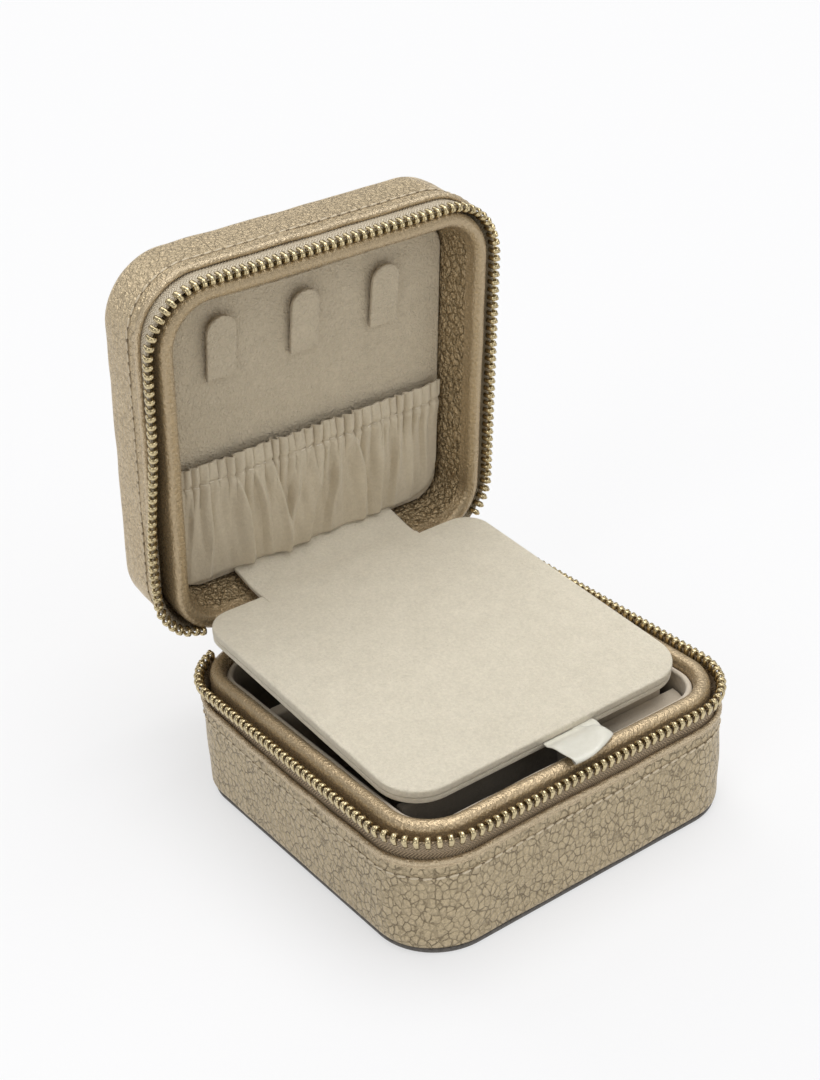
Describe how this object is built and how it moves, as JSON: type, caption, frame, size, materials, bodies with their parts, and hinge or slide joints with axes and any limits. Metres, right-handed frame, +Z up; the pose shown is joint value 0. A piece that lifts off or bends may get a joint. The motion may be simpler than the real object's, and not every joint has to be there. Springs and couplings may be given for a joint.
{
  "type": "travel jewelry case",
  "caption": "Square zip-around travel jewelry case, open: padded flap over a divided tray, lid with necklace straps and a gathered pocket.",
  "frame": {"origin": "middle of the base's underside, on the surface the case stands on", "axes": "+Z up out of the open lower half, -Y towards the ribbon side at the front, +Y towards the hinge and the lid, +X to the right when seen from the front"},
  "size_m": [0.102, 0.1263, 0.1386],
  "materials": {
    "leather": "pebbled, metallic champagne",
    "smooth_leather": "smooth, metallic bronze gold",
    "suede": "microsuede, matt beige",
    "flap_suede": "microsuede, matt cream",
    "zip_metal": "polished pale gold",
    "zip_tape": "woven taupe",
    "satin_ribbon": "off-white satin",
    "base_board": "dark backing"
  },
  "bodies": {
    "base": {"base_shell": "leather", "base_bottom_panel": "base_board", "base_collar": "smooth_leather", "base_zipper_tape": "zip_tape", "base_zipper_chain": "zip_metal", "base_spine": "smooth_leather", "tray_liner": "suede", "front_divider": "suede", "centre_divider": "suede", "side_divider": "suede", "front_shelf": "suede", "ring_roll_1": "suede", "ring_roll_2": "suede", "ring_roll_3": "suede", "ring_roll_4": "suede", "ring_roll_5": "suede", "zipper_slider": "zip_metal"},
    "lid": {"lid_shell": "leather", "lid_rim": "smooth_leather", "lid_zipper_tape": "zip_tape", "lid_zipper_chain": "zip_metal", "lid_spine": "smooth_leather", "lining_panel": "suede", "elastic_pocket": "suede", "flap_tab": "flap_suede", "snap_stud_1": "zip_metal", "snap_stud_2": "zip_metal", "snap_stud_3": "zip_metal"},
    "flap_crease": {"flap_crease": "flap_suede"},
    "flap": {"flap_top_pad": "flap_suede", "flap_under_pad": "flap_suede"},
    "ribbon": {"ribbon_pull": "satin_ribbon"},
    "strap_1": {"necklace_strap_1": "suede"},
    "strap_2": {"necklace_strap_2": "suede"},
    "strap_3": {"necklace_strap_3": "suede"},
    "pull": {"zipper_pull": "zip_metal"}
  },
  "joints": [
    {"name": "lid_hinge", "type": "hinge", "parent": "base", "child": "lid", "pos_m": [0, 0.051, 0.035], "axis": [-1, 0, 0], "range_deg": [-84, 0]},
    {"name": "flap_crease_fold", "type": "hinge", "parent": "lid", "child": "flap_crease", "pos_m": [0, 0.04904, 0.04213], "axis": [-1, 0, 0], "range_deg": [0, 89.2]},
    {"name": "flap_lift", "type": "hinge", "parent": "flap_crease", "child": "flap", "pos_m": [0, 0.04904, 0.04213], "axis": [-1, 0, 0], "range_deg": [0, 78]},
    {"name": "ribbon_fold", "type": "hinge", "parent": "flap", "child": "ribbon", "pos_m": [0, -0.03853, 0.03512], "axis": [-1, 0, 0], "range_deg": [0, 100]},
    {"name": "strap_1_lift", "type": "hinge", "parent": "lid", "child": "strap_1", "pos_m": [-0.0266, 0.05493, 0.10479], "axis": [1, 0, 0], "range_deg": [0, 115]},
    {"name": "strap_2_lift", "type": "hinge", "parent": "lid", "child": "strap_2", "pos_m": [-0.0023, 0.05493, 0.10479], "axis": [1, 0, 0], "range_deg": [0, 115]},
    {"name": "strap_3_lift", "type": "hinge", "parent": "lid", "child": "strap_3", "pos_m": [0.0221, 0.05493, 0.10479], "axis": [1, 0, 0], "range_deg": [0, 115]},
    {"name": "pull_swing", "type": "hinge", "parent": "base", "child": "pull", "pos_m": [0.04657, 0.04898, 0.035], "axis": [0.766, -0.6428, 0], "range_deg": [0, 110]}
  ],
  "couplings": [
    {"joint": "flap_crease_fold", "follows": "lid_hinge", "ratio": -1.0607},
    {"joint": "ribbon_fold", "follows": "lid_hinge", "ratio": -1.1905}
  ]
}
